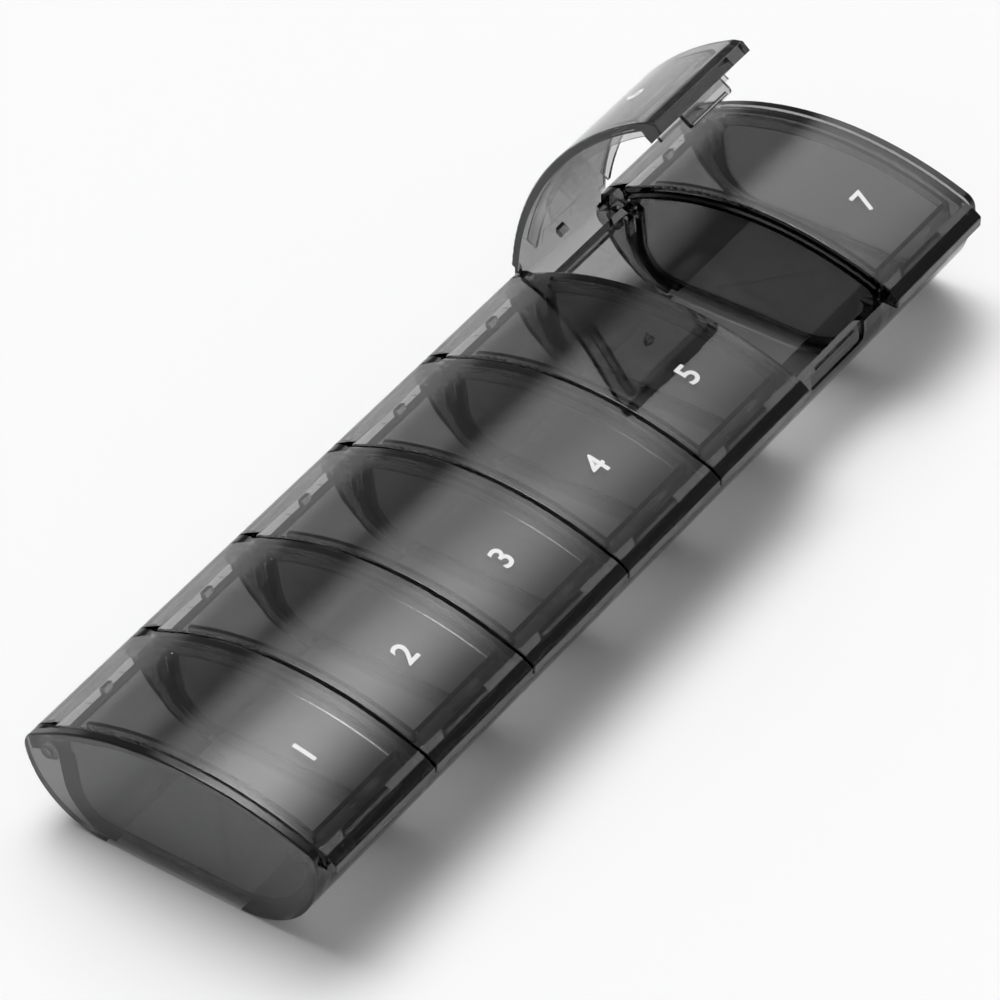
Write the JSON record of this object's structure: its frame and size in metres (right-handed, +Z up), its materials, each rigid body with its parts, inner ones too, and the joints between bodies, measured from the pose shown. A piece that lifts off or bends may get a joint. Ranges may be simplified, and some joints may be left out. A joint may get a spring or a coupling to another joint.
{
  "type": "pill organizer",
  "caption": "Long tray of side-by-side compartments, each with its own arched hinged lid that snaps shut on a latch tab at the front.",
  "frame": {"origin": "middle of the tray's flat underside, on the surface that it rests on", "axes": "+X along the row of lids towards the seventh, -Y towards the latch side, +Y towards the hinges, +Z up"},
  "size_m": [0.189, 0.0656, 0.0673],
  "materials": {
    "tray_plastic": "smoke-clear moulded plastic, glossy outside",
    "lid_plastic": "smoke-clear moulded plastic, glossy"
  },
  "bodies": {
    "tray": {"tray": "tray_plastic"},
    "lid_1": {"lid_1": "lid_plastic"},
    "lid_2": {"lid_2": "lid_plastic"},
    "lid_3": {"lid_3": "lid_plastic"},
    "lid_4": {"lid_4": "lid_plastic"},
    "lid_5": {"lid_5": "lid_plastic"},
    "lid_6": {"lid_6": "lid_plastic"},
    "lid_7": {"lid_7": "lid_plastic"}
  },
  "joints": [
    {"name": "lid_1_hinge", "type": "hinge", "parent": "tray", "child": "lid_1", "pos_m": [-0.0795, 0.0285, 0.01493], "axis": [-1, 0, 0], "range_deg": [0, 95]},
    {"name": "lid_2_hinge", "type": "hinge", "parent": "tray", "child": "lid_2", "pos_m": [-0.053, 0.0285, 0.01493], "axis": [-1, 0, 0], "range_deg": [0, 95]},
    {"name": "lid_3_hinge", "type": "hinge", "parent": "tray", "child": "lid_3", "pos_m": [-0.0265, 0.0285, 0.01493], "axis": [-1, 0, 0], "range_deg": [0, 95]},
    {"name": "lid_4_hinge", "type": "hinge", "parent": "tray", "child": "lid_4", "pos_m": [0, 0.0285, 0.01493], "axis": [-1, 0, 0], "range_deg": [0, 95]},
    {"name": "lid_5_hinge", "type": "hinge", "parent": "tray", "child": "lid_5", "pos_m": [0.0265, 0.0285, 0.01493], "axis": [-1, 0, 0], "range_deg": [0, 95]},
    {"name": "lid_6_hinge", "type": "hinge", "parent": "tray", "child": "lid_6", "pos_m": [0.053, 0.0285, 0.01493], "axis": [-1, 0, 0], "range_deg": [-53, 42]},
    {"name": "lid_7_hinge", "type": "hinge", "parent": "tray", "child": "lid_7", "pos_m": [0.0795, 0.0285, 0.01493], "axis": [-1, 0, 0], "range_deg": [0, 95]}
  ]
}
